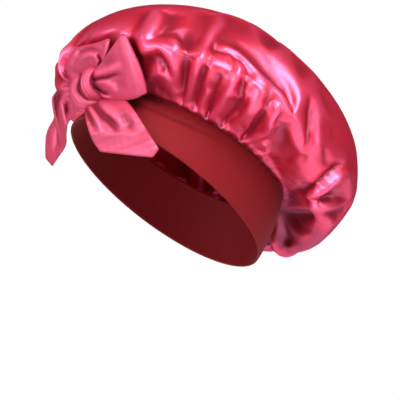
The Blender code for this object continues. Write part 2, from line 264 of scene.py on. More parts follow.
def clothMaterial(name, look):
    m = bpy.data.materials.new(name)
    m.use_nodes = True
    tree = m.node_tree
    shader = tree.nodes["Principled BSDF"]
    grain = addNode(tree, "ShaderNodeGroup", node_tree=grainGroup)
    # the tone group paints shade and highlight into the base colour
    paintedTone = addNode(tree, "ShaderNodeGroup", node_tree=paintedShadingGroup, in_Grain=grain.outputs["Tone"])
    bump = addNode(tree, "ShaderNodeBump", in_Strength=1.0, in_Distance=look["bump"],
                   in_Height=grain.outputs["Height"])
    for node, values in ((grain, look["grain"]), (paintedTone, look["tones"]), (shader, look["shader"])):
        for label, value in values.items():
            node.inputs[label].default_value = value
    tree.links.new(paintedTone.outputs["Color"], shader.inputs["Base Color"])
    tree.links.new(bump.outputs[0], shader.inputs["Normal"])
    return m


satinCrown = clothMaterial("crownSatin", crownSatin)
satinBow = clothMaterial("bowSatin", bowSatin)
jerseyBand = clothMaterial("bandJersey", bandJersey)
print("materials made")


# band

def seamHeight(turn):
    return bandShape["height"] - bandShape["rake"] * np.cos(turn)


# half-width and half-length of the band's outside, from the lower edge (0) to the seam (1)
def bandHalves(height):
    b = bandShape
    return (b["halfWidth"] + (b["seamHalfWidth"] - b["halfWidth"]) * height,
            b["halfLength"] + (b["seamHalfLength"] - b["halfLength"]) * height)


# the band's outside: an ellipse that goes from the lower edge (0) to the seam (1), moved out by a distance
def bandPoint(turn, height, out):
    halfWidth, halfLength = bandHalves(height)
    back = bandShape["seamShift"] * height - (halfLength + out) * np.cos(turn)
    return leaned((halfWidth + out) * np.sin(turn), back, height * seamHeight(turn))


# Creases in the band: start and end angle, height at the start, middle and end, half-width as a share of the
# height, and depth in mm (- is a groove).
bandFolds = (
    ("longCrease", 6, 78, (0.70, 0.66, 0.86), 0.10, -1.3),
    ("longCreaseLip", 6, 74, (0.60, 0.55, 0.76), 0.12, 0.7),
    ("knotCrease1", -4, 40, (0.92, 0.94, 0.98), 0.07, -1.2),
    ("knotCrease2", -2, 46, (0.80, 0.84, 0.92), 0.07, -1.0),
    ("knotCrease3", 0, 30, (0.48, 0.36, 0.30), 0.10, -0.8),
    ("rightCrease", -70, -8, (0.80, 0.62, 0.72), 0.12, -1.2),
    ("rightCrease2", -40, -6, (0.36, 0.44, 0.56), 0.10, -0.9),
    ("napeFold", 150, 215, (0.50, 0.55, 0.46), 0.20, 0.5),
)


def makeBand():
    columns, rows = 480, 34
    turn = np.linspace(0, 2 * math.pi, columns, endpoint=False)[None, :]
    degrees = (np.degrees(turn) + 90) % 360 - 90
    height = np.linspace(0, 1, rows)[:, None]
    out = bandShape["swell"] * np.sin(height * math.pi) ** 0.8 + 0 * turn
    paintedTone = 0 * out
    for name, angle0, angle1, path, halfWidth, depth in bandFolds:
        along = (degrees - angle0) / (angle1 - angle0)
        line = (path[0] * (1 - along) * (1 - 2 * along) + 4 * path[1] * along * (1 - along)
                + path[2] * along * (2 * along - 1))
        mark = hump((height - line) / halfWidth) * hump(2 * along - 1) ** 0.6
        out = out + depth * 0.001 * mark
        # painted shade in each groove and a painted highlight on each raised lip
        paintedTone = paintedTone + depth * 0.22 * mark
    # small pulls down from each gather stitch, fading by half the height
    pulls = (0.35 * np.cos(61 * turn + 2 * np.sin(3 * turn))
             + 0.3 * np.cos(88 * turn + 1.7 * np.sin(5 * turn)))
    out = out + 0.0005 * pulls * ease(height, 0.72, 1.0)
    outer = bandPoint(turn, height, out)
    inner = bandPoint(turn, height[::-1], out[::-1] * 0.6 - bandShape["wall"])
    # rounded hem: half a turn from the inside to the outside below the lower edge
    bend = np.linspace(0, math.pi, 7)[1:-1, None]
    hemOut = -bandShape["wall"] / 2 - bandShape["wall"] / 2 * np.cos(bend) + 0 * turn
    hem = bandPoint(turn, -np.sin(bend) * bandShape["hem"] / bandShape["height"], hemOut)
    points = np.concatenate([outer, inner, hem], axis=0)
    total = points.shape[0]
    # painted shade along the top of the band under the crown's edge, and over the whole inside of the band
    paintedTone = paintedTone - 0.55 * hump((height - 1.0) / 0.10)          # darker where the crown is sewn on
    paintedTone = np.concatenate([paintedTone, 0 * paintedTone - 0.25, 0 * hem[..., 0]], 0)
    around = turn / (2 * math.pi) * bandShape["round"]
    uv = np.stack(np.broadcast_arrays(around, np.linspace(0, bandShape["wayUp"], total)[:, None]), -1)
    faces = gridFaces(total, columns, closedRows=True, closedColumns=True)
    band = clothObject("bandCloth", points, faces, uv, jerseyBand, paintedTone)
    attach(band, "root")
    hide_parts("band")


makeBand()
print("band made")


# crown

# Underside from the seam to the widest ring: share of the seam ring, share of the widest ring, lift as a share
# of the way to the top, droop as a share of the droop at the back, and how much more lift there is at the sides.
crownUnder = (
    (1.000, 0.000, 0.000, 0.0, 0.000),
    (0.930, 0.070, 0.025, 0.0, 0.025),
    (0.700, 0.290, 0.032, 0.4, 0.058),
    (0.420, 0.570, 0.015, 0.8, 0.115),
    (0.160, 0.810, 0.000, 1.0, 0.150),
    (0.020, 0.945, 0.020, 0.8, 0.145),
    (0.000, 0.990, 0.100, 0.3, 0.080),
)

# Folds followed from the photograph, in mm, in the upright plane that faces the camera: height (- is a valley),
# half-width, and a path of (right, up) from the origin.
crownFolds = (
    ("frontCrease", -1.6, 4, ((-16.2, 154.5), (-24.9, 141.1), (-32.8, 131.1))),
    ("frontFlash", 3, 9, ((-5.5, 154.1), (-11.9, 139), (-23.4, 118.2))),
    ("panelSoft", -1, 10, ((6.8, 154.8), (4.6, 139), (1, 124.6))),
    ("valleyB", -6.5, 9, ((13.9, 141.9), (18.2, 118.9), (18.5, 97.3), (14.2, 72.2))),
    ("edgeA", 2.5, 4.5, ((9.2, 137.6), (8.9, 120.3), (11.4, 105.9), (13.1, 88.7), (11.4, 73.6))),
    ("ridgeB", 6.5, 6.5, ((48.4, 150.8), (41.7, 136.8), (33.8, 119.6), (26.4, 103.1), (20.7, 85.8),
        (16.8, 71.5))),
    ("hookB", 2, 4, ((41.2, 149.1), (46.3, 150.2), (48.7, 146.9), (46.7, 141.1))),
    ("puffJ", 9, 24, ((-16, 84), (-6, 96), (4, 104))),
    ("outerJ", 5.5, 6.5, ((-24.9, 116), (-13.4, 120), (-1.1, 118.6), (6.8, 109.5), (9.3, 98.8),
        (10.3, 85.8))),
    ("pocketJ", -3, 6.5, ((-17.7, 108.1), (-9.1, 109.5), (1, 108.8))),
    ("innerJ", 5.5, 4.6, ((-17, 92.3), (-10.5, 97), (-3.3, 99.2), (2.7, 97), (5.7, 90.1),
        (8.8, 80.1), (9.1, 73.6))),
    ("underJ", -3.5, 4.5, ((-13.4, 89.4), (-4.7, 88.7), (3.2, 81.5), (5, 74.3))),
    ("valleyC1", -4, 4.2, ((33.3, 107.4), (28, 88.7), (25.4, 74.3))),
    ("ridgeC1", 2.4, 2.8, ((37.2, 87.3), (32.9, 77.2), (29.2, 65.7))),
    ("ridgeC0", 2, 3, ((41.2, 108.8), (35.8, 97.3), (32.9, 85.8))),
    ("valleyC2", -4.5, 4, ((46.3, 100.9), (42, 85.8), (36.6, 67.2))),
    ("archC", 3, 5, ((33.8, 112.4), (44.1, 116.7), (54.2, 114.3), (59.9, 105.9))),
    ("lobeC", 5.5, 5.5, ((57.8, 111), (61.1, 100.2), (55.6, 88), (47.7, 74.3), (40.5, 60.7))),
    ("valleyC3", -5, 5, ((64.9, 94.5), (62.8, 80.1), (56.3, 67.2), (49.1, 57.1))),
    ("ringD", 2.4, 2.6, ((51, 55.4), (54.2, 62.6), (60.6, 66))),
    ("lobeD", 5.5, 8, ((67.8, 93.7), (77.9, 85.8), (77.2, 74.3), (68.5, 62.8), (61.4, 51.4))),
    ("valleyD", -4.5, 6, ((85.8, 80.1), (81.5, 68.6), (72.8, 55.7), (64.9, 47))),
    ("longRidge", 5, 6, ((39.8, 127.8), (52.7, 122), (62.1, 116.7), (70, 106.7), (78.6, 94.5),
        (90.1, 85.5), (97.6, 74.3), (101.3, 61.4))),
    ("underLong", -3, 4.5, ((41.2, 120.6), (54.2, 116.3), (64.2, 105.2), (75, 91.6), (82.9, 83.7))),
    ("overLong", -2, 9, ((55.6, 131.8), (72.8, 118.9), (87.2, 101.6), (100.1, 85.8))),
    ("ridgeS", 4.5, 3.6, ((88.4, 74.3), (93, 68.3), (88.6, 60.7), (85.5, 51.4), (77.9, 46.8), (66.4, 42.4))),
    ("pocketS", -4.5, 5, ((84.1, 70.7), (78.6, 60), (70.7, 49.6))),
    ("ridgeE", 2, 2.6, ((82.6, 74.3), (75.7, 64), (68.8, 51.4))),
    ("curl", 4, 3.6, ((76.9, 41), (83.8, 39.9), (84.3, 33.8), (78.3, 30.5))),
    ("curlPocket", -3, 3, ((74.3, 37), (79.7, 35.3))),
    ("sideHollow", -2.5, 12, ((95.8, 57.1), (98.7, 44.2), (93, 28.4))),
    ("lowBulge", 3.5, 12, ((104.5, 25.5), (111.6, 16.9), (104.5, 8.2))),
    ("farSoft1", 2.2, 10, ((91.5, 124.6), (104.5, 108.8), (113.1, 85.8), (113.1, 68.6))),
    ("farSoft2", 2.5, 9, ((117.4, 104.5), (127.4, 77.2), (131.8, 51.4), (127.4, 28.4))),
    ("farCrease", -2.2, 4.5, ((121.7, 74.3), (120.5, 45.6), (116.7, 22.6))),
    ("farCrease2", -1.8, 4, ((133.2, 65.7), (134.6, 37), (138.6, 21.2))),
    ("rearValley", -9, 7, ((100.9, -2.1), (114.5, -2.1), (127.4, 5.4), (141.8, 18.3), (151.9, 28.4))),
    ("rearRidge", 7.5, 7, ((102.3, -4.4), (119.5, -4.1), (133.2, 2.5), (144.7, 12.6), (154.7, 21.2))),
    ("rearBetween", -6, 5.5, ((102.3, -7.6), (117.4, -8.4), (134.6, -6.8), (150.4, -1.8))),
    ("rearSecond", 5, 6, ((102.3, -11.6), (117.4, -12.4), (136.1, -11.9), (153.3, -8.3))),
    ("rearPocket", -6.5, 8, ((103.7, -15), (117.4, -19.1), (130.3, -20.5))),
    ("lowerFan1", 3, 7, ((102.3, -19.1), (111.6, -32), (127.4, -43.5))),
    ("lowerFan2", -6, 7, ((100.9, -19.1), (104.5, -34.9), (111.6, -47.8))),
    ("lowerFan3", 2.5, 6, ((98, -19.1), (97.3, -34.9), (100.9, -49.2))),
)


# profile from the seam to the top: row, seam share, wide share, lift, droop share, and length along the cloth
def crownProfile():
    c, b = crownShape, bandShape
    topUp = c["widestHeight"] + c["rise"]
    base = (c["widestHeight"] - b["height"]) / (topUp - b["height"])
    under = [(i / len(crownUnder), *row) for i, row in enumerate(crownUnder)]
    rise = np.linspace(0, math.pi / 2, 19)
    cap = [(1 + 2 * r / math.pi, 0.0, math.cos(r), base + (1 - base) * math.sin(r), 0.0, 0.0) for r in rise]
    rows = smoothRows(under + cap, 16)
    rows[:, 0] = np.clip(rows[:, 0], 0, 2)
    meanWide = (c["halfWidth"] + c["halfLength"]) / 2
    meanSeam = (b["seamHalfWidth"] + b["seamHalfLength"]) / 2
    radius = rows[:, 1] * meanSeam + rows[:, 2] * meanWide
    up = rows[:, 3] * (topUp - b["height"]) - rows[:, 4] * c["droop"]
    length = np.concatenate([[0], np.cumsum(np.hypot(np.diff(radius), np.diff(up)))])
    return rows, length


# the smooth crown: an ellipse for each row, its two half-axes mixed from the seam's and the widest ring's
def crownSmooth(row, turn, rows):
    c, b = crownShape, bandShape
    seam, wide, lift, droop, sideLift = (np.interp(row, rows[:, 0], rows[:, k]) for k in range(1, 6))
    degrees = np.degrees(turn)
    atSides = (ease(degrees, 5, 32) * (1 - ease(degrees, 95, 128))
               + ease(-degrees, 62, 85) * (1 - ease(-degrees, 95, 128)))
    lift = lift + sideLift * atSides
    start = seamHeight(turn) + c["seamGap"]
    topUp = c["widestHeight"] + c["rise"]
    halfWidth = seam * b["seamHalfWidth"] + wide * c["halfWidth"]
    halfLength = seam * b["seamHalfLength"] + wide * c["halfLength"]
    side = halfWidth * np.sin(turn)
    back = seam * b["seamShift"] + wide * c["shift"] - halfLength * np.cos(turn)
    up = start + lift * (topUp - start) - droop * c["droop"] * (1 - np.cos(turn))
    return leaned(side, back, up)


# distance of each point to a path, both in one plane, and how far along the path it is, from 0 to 1
def pathDistance(x, y, path, perSpan=6):
    dense = smoothRows(path, perSpan)
    best, along = np.full(x.shape, 1e9), np.zeros(x.shape)
    steps = len(dense) - 1
    for k in range(steps):
        start, way = dense[k], dense[k + 1] - dense[k]
        h = np.clip(((x - start[0]) * way[0] + (y - start[1]) * way[1]) / (way @ way + 1e-9), 0, 1)
        d = np.hypot(x - start[0] - h * way[0], y - start[1] - h * way[1])
        near = d < best
        best, along = np.where(near, d, best), np.where(near, (k + h) / steps, along)
    return best, along


# a fold's height across it: a ridge is round, a valley is sharp at its bottom
def foldShape(away, halfWidth, high):
    x = away / halfWidth
    return high * (hump(x) ** 0.8 if high > 0 else np.clip(1 - x / 1.25, 0, 1) ** 1.6)


# Gathers: how many go round, how they bunch, height in mm, the row where they have faded out, and a start.
crownGathers = ((54, 1.3, 1.6, 0.50, 0.3), (83, 1.9, 1.2, 0.34, 1.1), (34, 1.1, 1.2, 0.80, 2.2))


# more folds of the same kind for the side and back that the photograph doesn't show, from a fixed seed; their paths
# are in degrees round and rows up
def hiddenFolds():
    rng = np.random.default_rng(11)
    folds = []
    angle = 183.0
    while angle < 346:
        bend = rng.uniform(-7, 7)
        top = rng.uniform(0.95, 1.45)
        high = rng.uniform(3.0, 5.5)
        last = (angle + bend * rng.uniform(0.4, 1.6), top)
        path = ((angle, 0.10), (angle + bend * 0.5, 0.45), (angle + bend, 0.8), last)
        folds.append(("hidden", high, rng.uniform(6, 9), path))
        half = angle + rng.uniform(5, 7)
        halfWidth = rng.uniform(5, 8)
        path = ((half, 0.10), (half + bend * 0.6, 0.5), (half + bend, rng.uniform(0.8, 1.2)))
        folds.append(("hiddenValley", -high * 0.9, halfWidth, path))
        angle += rng.uniform(10, 16)
    for start, side in ((140, 14), (200, 16), (255, -14), (300, 12)):
        path = ((start, 1.5), (start + side, 1.25), (start + 1.6 * side, 1.0), (start + 1.8 * side, 0.8))
        folds.append(("hiddenSweep", 4.0, 9, path))
    return folds


# 1 along a fold, fading to 0 at its two ends, except near the seam, which folds run into
def foldEnds(along, row, fade):
    return 1 - (1 - ease(along, 0.0, 0.16) * ease(1 - along, 0.0, fade)) * ease(row, 0.12, 0.34)


# height in mm of the folds that the photograph shows, softly held within a limit; seen is 1 where the cloth faces
# the camera and 0 where it doesn't
def seenFolds(points, seen, row):
    right = (points[..., 0] * viewRight[0] + points[..., 1] * viewRight[1]) * 1000
    up = points[..., 2] * 1000
    total = 0 * row
    for name, high, halfWidth, path in crownFolds:
        away, along = pathDistance(right, up, path)
        total = total + foldShape(away, halfWidth, high) * foldEnds(along, row, 0.20)
    # calmer beside the seam low at the back, where the folds lie close together
    calm = 1 - 0.7 * (1 - ease(row, 0.08, 0.40)) * ease(points[..., 1], 0.055, 0.085)
    limit = crownShape["foldLimit"]
    return limit * np.tanh(total / limit) * seen * calm


# height in mm of the gathers, the unseen folds and the slow swells
def crownRelief(row, turn, seen):
    degrees = np.degrees(turn)
    wide = np.interp(row, [0, 0.3, 1, 1.5, 2], [0.6, 0.8, 1.0, 0.72, 0.02])
    ringMm = 138 * wide * math.pi / 180               # mm in a degree, on a ring 138 mm from the middle
    relief = 0 * row
    calm = 1 - 0.6 * ease(degrees % 360, 118, 130) * (1 - ease(degrees % 360, 176, 188))
    # the unseen folds lie in a plane of mm: so many in a degree, in a degree of the widest ring, and in a row
    degreeMm, widestMm, rowMm = 2.1, 2.41, 90
    for name, high, halfWidth, path in hiddenFolds():
        start = path[0][0]
        x = ((degrees - start + 180) % 360 - 180) * ringMm
        ways = tuple(((angle - start) * degreeMm, r * rowMm) for angle, r in path)
        away, along = pathDistance(x * degreeMm / widestMm, row * rowMm, ways)
        relief = relief + foldShape(away, halfWidth, high) * foldEnds(along, row, 0.22)
    # gathers: three sets of folded waves round the seam that bend and fade at different heights
    for count, wobble, high, fade, lag in crownGathers:
        phase = (count * turn + wobble * np.sin(5 * turn + lag) + 0.9 * np.sin(13 * turn + 2 * lag)
                 + 2.0 * np.sin(3 * row + lag))
        folded = 2 * np.abs(np.cos(phase / 2)) ** 0.7 - 1
        fading = 1 - ease(row, 0.15 * fade, fade)
        relief = relief + high * folded * fading * calm * (1 - 0.55 * seen)
    # slow swells over the top
    return relief + 0.9 * np.sin(3 * turn + 2.5 * row) * ease(row, 0.8, 1.2) * (1 - ease(row, 1.5, 1.95))


# a square grid bent to a disc: rings of equal steps, so that the cloth has the same cells all over
def discGrid(cells):
    a, b = np.meshgrid(np.linspace(-1, 1, cells + 1), np.linspace(-1, 1, cells + 1), indexing="ij")
    flat = np.abs(a) >= np.abs(b)
    safeA, safeB = np.where(a == 0, 1.0, a), np.where(b == 0, 1.0, b)
    radius = np.where(flat, a, b)
    angle = np.where(flat, math.pi / 4 * b / safeA, math.pi / 2 - math.pi / 4 * a / safeB)
    return radius * np.cos(angle), radius * np.sin(angle)


# How the crown settles: so many frames with these settings. The slow swelling, found by rounds of averaging, is
# taken back, and no point ends further than keep, in metres, from where it started.
clothPull = {
    "frames": 40, "outline": 60, "keep": 0.004,
    "settings": {
        "quality": 5, "mass": 0.1, "tension_stiffness": 20, "compression_stiffness": 10, "shear_stiffness": 6,
        "bending_stiffness": 0.3, "tension_damping": 8, "compression_damping": 8, "shear_damping": 8,
        "air_damping": 1, "pin_stiffness": 1.0, "use_pressure": True, "uniform_pressure_force": 1.5,
    },
}


# average of each point's four neighbours, so many times over, with the edge held
def averaged(field, rounds):
    f = field.copy()
    for _ in range(rounds):
        f[1:-1, 1:-1] = (f[:-2, 1:-1] + f[2:, 1:-1] + f[1:-1, :-2] + f[1:-1, 2:]) / 4
    return f


# lets the folded crown settle as cloth: springs as long as on the flat disc, pinned along the seam
def settleCloth(points, flat, faces, edge):
    obj = meshObject("settling", points, faces)
    obj.shape_key_add(name="start")
    rest = obj.shape_key_add(name="flat")
    rest.data.foreach_set("co", flat.astype(np.float32).ravel())
    group = obj.vertex_groups.new(name="sewn")
    group.add(np.flatnonzero(edge.ravel()).tolist(), 1.0, "REPLACE")
    cloth = obj.modifiers.new("cloth", "CLOTH")
    for key, value in clothPull["settings"].items():
        setattr(cloth.settings, key, value)
    cloth.settings.vertex_group_mass = "sewn"
    cloth.settings.rest_shape_key = rest
    cloth.settings.effector_weights.gravity = 0.0
    cloth.collision_settings.use_collision = False
    cloth.collision_settings.use_self_collision = False
    cloth.point_cache.frame_start, cloth.point_cache.frame_end = 1, clothPull["frames"]
    for f in range(1, clothPull["frames"] + 1):
        bpy.context.scene.frame_set(f)
    settled = obj.evaluated_get(bpy.context.evaluated_depsgraph_get())
    co = np.zeros(points.size, np.float32)
    settled.data.vertices.foreach_get("co", co)
    bpy.context.scene.frame_set(1)
    bpy.data.objects.remove(obj, do_unlink=True)
    moved = co.reshape(points.shape).astype(float) - points
    moved = moved - averaged(moved, clothPull["outline"])
    far = np.linalg.norm(moved, axis=-1, keepdims=True)
    print("cloth moved mm: mean", round(float(far.mean()) * 1000, 2), "most", round(float(far.max()) * 1000, 2))
    return points + moved * clothPull["keep"] * np.tanh(far / clothPull["keep"]) / np.maximum(far, 1e-9)


# twice as many cells: the new points come from two on each side, by the weights -1, 9, 9, -1 sixteenths
def doubled(field):
    for axis in (0, 1):
        f = np.moveaxis(field, axis, 0)
        wide = np.concatenate([2 * f[:1] - f[1:2], f, 2 * f[-1:] - f[-2:-1]])
        out = np.zeros((2 * len(f) - 1, *f.shape[1:]))
        out[::2] = f
        out[1::2] = (9 * (wide[1:-2] + wide[2:-1]) - wide[:-3] - wide[3:]) / 16
        field = np.moveaxis(out, 0, axis)
    return field


# the crown on a disc of so many cells: smooth and folded points, the way out, row, flat place and flat radius
def crownGrid(cells, rows, length):
    x, y = discGrid(cells)
    radius, turn = np.hypot(x, y), np.arctan2(x, -y)
    row = np.interp((1 - radius) * length[-1], length, rows[:, 0])
    smooth = crownSmooth(row, turn, rows)
    normal = gridNormals(smooth)
    middle = leaned(0.0, crownShape["shift"], crownShape["widestHeight"])
    normal = normal * np.sign(((smooth - middle) * normal).sum(-1).mean())
    # near the seam the folds stand out sideways from the band rather than down
    sideways = leaned(np.sin(turn), -np.cos(turn), 0.0)
    out = unit(normal + 1.4 * sideways * (1 - ease(row, 0.10, 0.6))[..., None])
    seen = ease(normal @ viewToward, -0.12, 0.12)
    start = ease(row, 0.0, 0.05)
    plain = crownRelief(row, turn, seen) * start
    height = plain + seenFolds(smooth, seen, row) * start
    for _ in range(2):                    # the folds are looked up where the raised cloth is seen, in half steps
        again = plain + seenFolds(smooth + out * height[..., None] * 0.0007, seen, row) * start
        height = averaged((height + again) / 2, 1)
    return {"smooth": smooth, "folded": smooth + out * height[..., None] * 0.001, "out": out, "row": row,
            "flat": np.stack([x, y], -1) * length[-1], "radius": radius}


# right, up and toward in mm, from the origin, in the upright plane that faces the camera
def inView(points):
    return points @ np.stack([viewRight, upward, viewToward], -1) * 1000


# largest value in a window of cells round each one
def widened(field, reach):
    f = np.pad(field, reach, mode="edge")
    windows = np.lib.stride_tricks.sliding_window_view(f, (2 * reach + 1, 2 * reach + 1))
    return windows.max(axis=(2, 3))


# The square of the picture plane that holds the bow, in cells: mm across a cell, cells along a side, the left side's
# place in mm, and how far toward the camera, in mm, the crown may come where no bow is.
bowPress = {"cell": 2, "cells": 100, "left": -110, "free": 1e3}


# the cell of the bow's square at each point in view, and whether the point is in the square
def pressCells(view):
    last = bowPress["cells"] - 1
    i = ((view[..., 0] - bowPress["left"]) / bowPress["cell"]).astype(int)
    j = (view[..., 1] / bowPress["cell"]).astype(int)
    inside = (i >= 0) & (i <= last) & (j >= 0) & (j <= last)
    return (np.clip(i, 0, last), np.clip(j, 0, last)), inside


# presses the crown back, away from the camera, where the bow lies on it: behind the bow's hindmost point in each
# cell, with some room, and on a soft slope round it
def pressedByBow(points, row, bow):
    hindmost = np.full((bowPress["cells"], bowPress["cells"]), bowPress["free"])
    for piece in bow:
        co = np.zeros(len(piece.data.vertices) * 3)
        piece.data.vertices.foreach_get("co", co)
        view = inView(co.reshape(-1, 3))
        np.minimum.at(hindmost, pressCells(view)[0], view[:, 2])
    hindmost = -widened(-hindmost, 1)
    view = inView(points)
    cells, inside = pressCells(view)
    limit = np.where(inside, hindmost[cells], bowPress["free"]) - crownShape["bowRoom"]
    need = np.clip(view[..., 2] - limit, 0, None)
    need = averaged(widened(need, 1), 5) * ease(row, 0.02, 0.16)
    return points - need[..., None] * 0.001 * viewToward


# The crown's painted shading: rounds of averaging that find the slow height, mm above or below it that give the full
# painted highlight or painted shade, and how much painted shade and highlight the folds get, and how much painted
# shade the seam and the cloth low at the back get.
crownPaintedShading = {"rounds": 40, "full": 2.2, "folds": 0.8, "seam": -0.7, "low": -0.8}


def makeCrown(bow):
    rows, length = crownProfile()
    grid = crownGrid(2 * crownShape["cells"], rows, length)
    points, out, row, flat = grid["folded"], grid["out"], grid["row"], grid["flat"]
    faces = gridFaces(*row.shape)
    middle = faces[len(faces) // 2]
    a, b, d = (points.reshape(-1, 3)[middle[k]] for k in (0, 1, 3))
    if np.dot(np.cross(b - a, d - a), out.reshape(-1, 3)[middle[0]]) < 0:
        faces = faces[:, ::-1]
    coarse = crownGrid(crownShape["cells"], rows, length)
    rest = np.concatenate([coarse["flat"], 0 * coarse["flat"][..., :1]], -1)
    edge = coarse["radius"] > 1 - 1e-6
    settled = settleCloth(coarse["folded"], rest, gridFaces(*coarse["row"].shape), edge)
    points = points + doubled(settled - coarse["folded"]) * ease(row, 0.05, 0.55)[..., None]
    points = pressedByBow(points, row, bow)
    height = ((points - grid["smooth"]) * out).sum(-1) * 1000
    # painted shading: a painted highlight over the ridges, painted shade in the valleys and along the seam
    above = (height - averaged(height, crownPaintedShading["rounds"])) / crownPaintedShading["full"]
    paintedTone = np.clip(above, -1, 1) * crownPaintedShading["folds"] + crownPaintedShading["seam"] * (1 - ease(row, 0.0, 0.10))
    # painted shade on the cloth that is bunched low at the back, in its own folds
    turned = np.abs(np.degrees(np.arctan2(flat[..., 0], -flat[..., 1])))
    paintedTone = paintedTone + crownPaintedShading["low"] * ease(turned, 118, 150) * (1 - ease(row, 0.35, 0.95))
    crown = clothObject("crownCloth", points, faces, flat, satinCrown, paintedTone)
    solidify(crown, crownShape["wall"], -1.0)
    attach(crown, "root")
    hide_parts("crown")


# bow

# The straps are laid out in mm from the middle of the knot, as right and up in the upright plane that faces the
# camera; toward is the distance out of that plane. Each strap lies on a slope: toward is at, plus right and up times
# the slope.
bowShape = {"halfStrap": 0.0285, "wall": 0.0013, "turnIn": 2.4, "edgeRoll": 0.5}

# Each strap is a patch between four edge curves: root, first and last long edge, and outer edge. Its folds have a
# height in mm (- is a valley), a half-width in mm and a path of (right, up).
loops = {
    "bowLoopLeft": {
        "node": "bow_loop_left", "full": 7, "gap": 1.2, "length": 0.104, "at": 0, "slope": (0.734, 0.32),
        "root": ((2.9, 12), (-1.8, 8.1), (-2.8, 3.8), (-0.5, -2.2), (4.7, -7)),
        "first": ((2.9, 12), (8.5, 18.3), (13.7, 25.1), (18.4, 31.4), (22.8, 37.2), (26.7, 41.7)),
        "last": ((4.7, -7), (9.8, -10.7), (18.4, -13.4), (27.9, -13.7), (37.8, -12.2), (47.2, -7.9)),
        "outer": ((26.7, 41.7), (29.7, 40.2), (32.5, 34.4), (37.2, 24.2), (41.1, 15.7), (45, 3.2),
                  (47.2, -7.9)),
        "folds": (
            ("tubeRidge", 2.4, 5, ((1.6, 8.1), (8.1, 10.5), (15.9, 12.8), (22.8, 15.4), (28.4, 16.7))),
            ("underTube", -3, 3.2, ((2.5, 4.7), (10.7, 5.9), (18.4, 7.6), (23.6, 8.6), (29.7, 6.8))),
            ("pouchRidge", 2, 4.5, ((2.5, 2.1), (10.7, 2.1), (17.2, -1.4), (19.7, -6.6), (17.6, -10.9))),
            ("pouchCrease", -2.6, 2.6, ((4.8, -2.7), (9.8, -6), (14.1, -7.1), (17.2, -6.7))),
            ("lowRidge", 1.8, 2.2, ((5.1, -4.7), (9.8, -9), (14.1, -10.7), (18.4, -11.2))),
            ("edgeSwell", 1.4, 8, ((30.9, 27.9), (34.4, 15.9), (36.1, 6.4), (34, -5.7))),
            ("upperHollow", -1.4, 7, ((10.7, 15.9), (16.3, 19.7), (22.3, 24.5))),
            ("sideHollow", -1, 6, ((23.6, 3.8), (26.2, -0.5), (25.3, -6.6))),
        ),
    },
    "bowLoopRight": {
        "node": "bow_loop_right", "full": 6, "gap": 1.2, "length": 0.075, "at": -1.8, "slope": (1.27, -0.034),
        "root": ((-10, 0.3), (-6.6, 5.5), (-1.4, 9.8), (3.8, 11.1)),
        "first": ((-10, 0.3), (-15.6, 3.8), (-19.9, 9), (-24.5, 16.9)),
        "last": ((3.8, 11.1), (6.8, 15.2), (9.7, 19.1), (12.2, 23.4), (14.6, 29.7), (16.2, 37.1)),
        "outer": ((-24.5, 16.9), (-23.1, 20.2), (-20.6, 24.2), (-16.7, 30.1), (-13.4, 32.2), (-8.9, 33.6),
                  (0.5, 34.8), (8.3, 36.4), (14.4, 38.4), (16.2, 37.1)),
        "folds": (
            ("arcValley", -1.8, 3.2, ((-11.7, 27.1), (-6.6, 29.7), (-0.5, 30.5), (5.9, 28.4), (9.8, 24.5))),
            ("arcRidge", 2, 3.2, ((-10, 22.8), (-3.1, 25.5), (2.5, 24.5), (4.7, 20.2), (3.8, 14.1))),
            ("rightCrease", -2.8, 2.4, ((5.9, 24.9), (8.1, 21.5), (7.7, 18), (5.5, 14.1))),
            ("edgeRidge", 1.3, 3, ((13.3, 35.7), (12.8, 30.5), (11.1, 24.9), (8.5, 19.3))),
            ("lowHollow", -1, 5, ((-17.8, 13.3), (-13.4, 11.6), (-8.3, 9.8))),
            ("cornerSwell", 1.2, 5, ((-19.9, 19.3), (-16, 25.8), (-10, 30.1))),
        ),
    },
}
